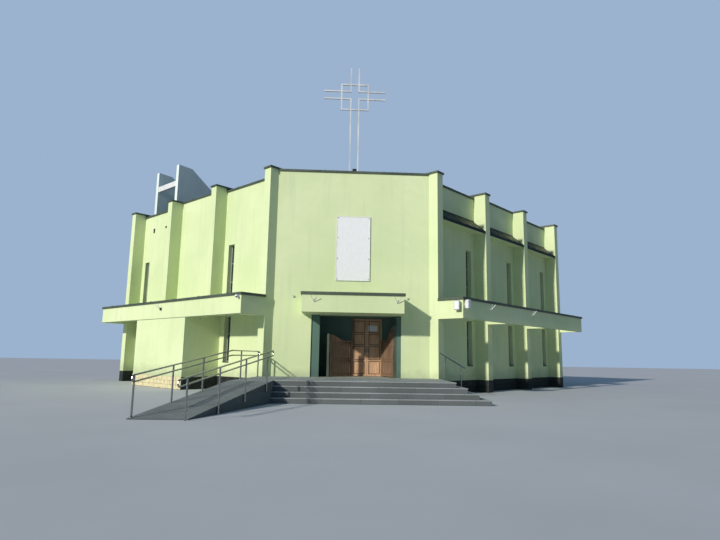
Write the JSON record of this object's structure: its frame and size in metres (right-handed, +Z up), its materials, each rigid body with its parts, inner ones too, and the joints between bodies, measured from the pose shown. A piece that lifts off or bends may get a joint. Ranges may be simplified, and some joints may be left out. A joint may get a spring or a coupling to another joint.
{
  "type": "church building",
  "caption": "Modern church hall on a square plan set diagonally, with finned walls, canopies, entrance doors and gates, landing, ramp, roof blades and an open roof cross.",
  "frame": {"origin": "on the ground under the middle of the entrance wall's thickness, which is its centre along X too", "axes": "+Z is up, the entrance looks towards -Y, and +X is to the right for a person who faces the entrance"},
  "size_m": [25.396, 29.3489, 14.066],
  "materials": {
    "render": "painted render, matt",
    "coping": "dark coated sheet metal",
    "passage_paint": "dark painted render",
    "timber": "varnished wood",
    "paving_stone": "grey stone slabs",
    "rail_steel": "brushed",
    "cross_steel": "bright square tube",
    "tower_render": "grey painted render",
    "beam_white": "white painted render",
    "plinth_stone": "dark stone facing",
    "floor_stone": "stone floor",
    "roofing": "mineral roofing"
  },
  "bodies": {
    "building": {"front_wall": "render", "front_coping": "coping", "front_canopy": "render", "front_canopy_coping": "coping", "entrance_passage": "passage_paint", "gate_post_left": "coping", "gate_post_right": "coping", "landing": "paving_stone", "entrance_steps": "paving_stone", "entrance_ramp": "paving_stone", "ramp_rail_right": "rail_steel", "ramp_rail_left": "rail_steel", "stair_rail": "rail_steel", "roof_cross": "cross_steel", "left_wall_1": "render", "left_wall_2": "render", "left_wall_3": "render", "left_fin_1": "render", "left_fin_2": "render", "left_fin_3": "render", "left_fin_4": "render", "left_coping": "coping", "left_canopy": "render", "left_canopy_coping": "coping", "rear_left_wall": "render", "rear_left_coping": "coping", "left_block": "render", "tower_blade_near": "tower_render", "tower_blade_far": "tower_render", "tower_beam": "beam_white", "right_wall_1": "render", "right_wall_2": "render", "right_wall_3": "render", "right_fin_1": "render", "right_fin_2": "render", "right_fin_3": "render", "right_fin_4": "render", "right_coping": "coping", "right_eaves_1": "render", "right_eaves_2": "render", "right_eaves_3": "render", "right_canopy": "render", "right_canopy_coping": "coping", "rear_right_wall": "render", "rear_right_coping": "coping", "plinth": "plinth_stone", "floor_slab": "floor_stone", "roof_slab": "roofing"},
    "left_leaf": {"door_leaf_left": "timber"},
    "right_leaf": {"door_leaf_right": "timber"},
    "left_gate": {"gate_left": "timber"},
    "right_gate": {"gate_right": "timber"}
  },
  "joints": [
    {"name": "left_leaf_hinge", "type": "hinge", "parent": "building", "child": "left_leaf", "pos_m": [0.078, 1.425, 1.84], "axis": [0, 0, 1], "range_deg": [0, 90]},
    {"name": "right_leaf_hinge", "type": "hinge", "parent": "building", "child": "right_leaf", "pos_m": [1.322, 1.425, 1.84], "axis": [0, 0, -1], "range_deg": [0, 90]},
    {"name": "left_gate_hinge", "type": "hinge", "parent": "building", "child": "left_gate", "pos_m": [-0.848, -0.003, 1.4], "axis": [0, 0, 1], "range_deg": [-43.6, 46.4]},
    {"name": "right_gate_hinge", "type": "hinge", "parent": "building", "child": "right_gate", "pos_m": [1.6827, -0.003, 1.4], "axis": [0, 0, -1], "range_deg": [-73, 17]}
  ]
}
